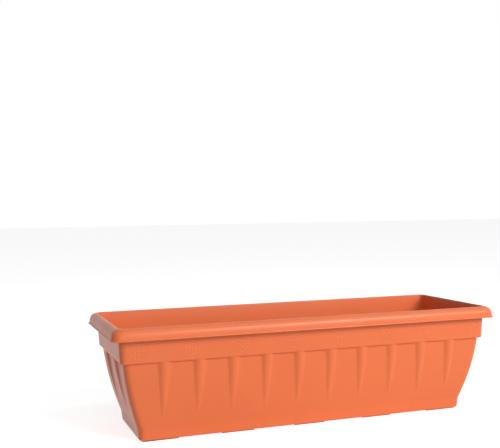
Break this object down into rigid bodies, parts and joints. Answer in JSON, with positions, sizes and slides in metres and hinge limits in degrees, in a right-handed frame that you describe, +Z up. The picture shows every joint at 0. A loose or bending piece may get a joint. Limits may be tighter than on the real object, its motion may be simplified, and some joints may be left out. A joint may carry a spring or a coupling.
{
  "type": "window box planter",
  "caption": "Long rectangular window box planter in terracotta plastic, with a down-turned rim, a plain band, fluted tapering sides and drain holes closed by push-in plugs.",
  "frame": {"origin": "on the ground under the middle of the planter, at the centre of the foot bars' plane", "axes": "+X along the length, +Y from the front long side to the back one, +Z up out of the mouth"},
  "size_m": [0.6, 0.21, 0.163],
  "materials": {
    "terracotta_plastic": "satin moulded plastic",
    "plug_plastic": "satin moulded plastic"
  },
  "bodies": {
    "trough": {"trough": "terracotta_plastic"},
    "drain_plug_1": {"drain_plug_1": "plug_plastic"},
    "drain_plug_2": {"drain_plug_2": "plug_plastic"},
    "drain_plug_3": {"drain_plug_3": "plug_plastic"},
    "drain_plug_4": {"drain_plug_4": "plug_plastic"},
    "drain_plug_5": {"drain_plug_5": "plug_plastic"},
    "drain_plug_6": {"drain_plug_6": "plug_plastic"},
    "drain_plug_7": {"drain_plug_7": "plug_plastic"},
    "drain_plug_8": {"drain_plug_8": "plug_plastic"}
  },
  "joints": [
    {"name": "drain_plug_1_lift", "type": "slide", "parent": "trough", "child": "drain_plug_1", "axis": [0, 0, 1], "range_m": [0, 0.17]},
    {"name": "drain_plug_2_lift", "type": "slide", "parent": "trough", "child": "drain_plug_2", "axis": [0, 0, 1], "range_m": [0, 0.17]},
    {"name": "drain_plug_3_lift", "type": "slide", "parent": "trough", "child": "drain_plug_3", "axis": [0, 0, 1], "range_m": [0, 0.17]},
    {"name": "drain_plug_4_lift", "type": "slide", "parent": "trough", "child": "drain_plug_4", "axis": [0, 0, 1], "range_m": [0, 0.17]},
    {"name": "drain_plug_5_lift", "type": "slide", "parent": "trough", "child": "drain_plug_5", "axis": [0, 0, 1], "range_m": [0, 0.17]},
    {"name": "drain_plug_6_lift", "type": "slide", "parent": "trough", "child": "drain_plug_6", "axis": [0, 0, 1], "range_m": [0, 0.17]},
    {"name": "drain_plug_7_lift", "type": "slide", "parent": "trough", "child": "drain_plug_7", "axis": [0, 0, 1], "range_m": [0, 0.17]},
    {"name": "drain_plug_8_lift", "type": "slide", "parent": "trough", "child": "drain_plug_8", "axis": [0, 0, 1], "range_m": [0, 0.17]}
  ]
}
